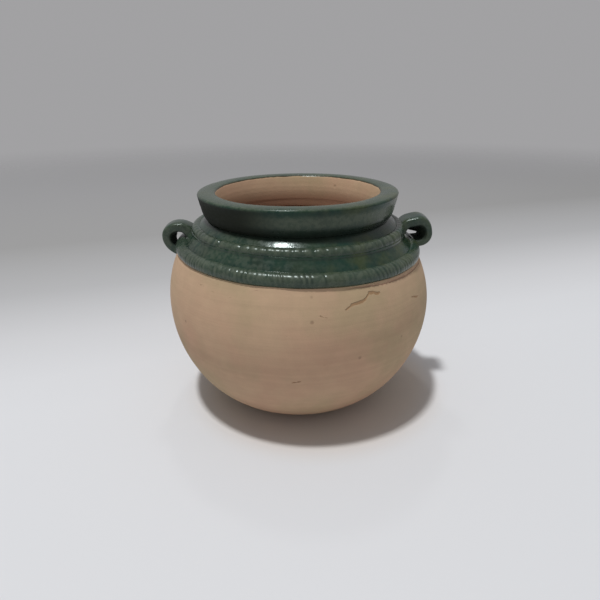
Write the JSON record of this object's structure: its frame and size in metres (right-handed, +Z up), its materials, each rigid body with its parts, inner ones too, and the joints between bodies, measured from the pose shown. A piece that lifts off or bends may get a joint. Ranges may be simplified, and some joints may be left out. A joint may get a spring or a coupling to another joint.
{
  "type": "ceramic flower pot",
  "caption": "Round-bellied clay flower pot with a heavy glazed rim, notched bands, loop handles and a drain hole.",
  "frame": {"origin": "middle of the flat base, on the surface that the pot stands on", "axes": "+Z up along the pot's axis; the handles lie near the X axis, the left one turned from it by 2 degrees about +Z and the right one by 3.5 degrees"},
  "size_m": [0.2261, 0.22, 0.181],
  "materials": {
    "buff_clay": "unglazed, matt, low-fired buff clay",
    "green_glaze": "glossy dark green glaze over the same clay"
  },
  "bodies": {
    "root": {"belly": "buff_clay", "collar": "green_glaze", "rim": "green_glaze", "upper_cordon": "green_glaze", "lower_cordon": "green_glaze", "left_handle": "green_glaze", "right_handle": "green_glaze"}
  },
  "joints": []
}
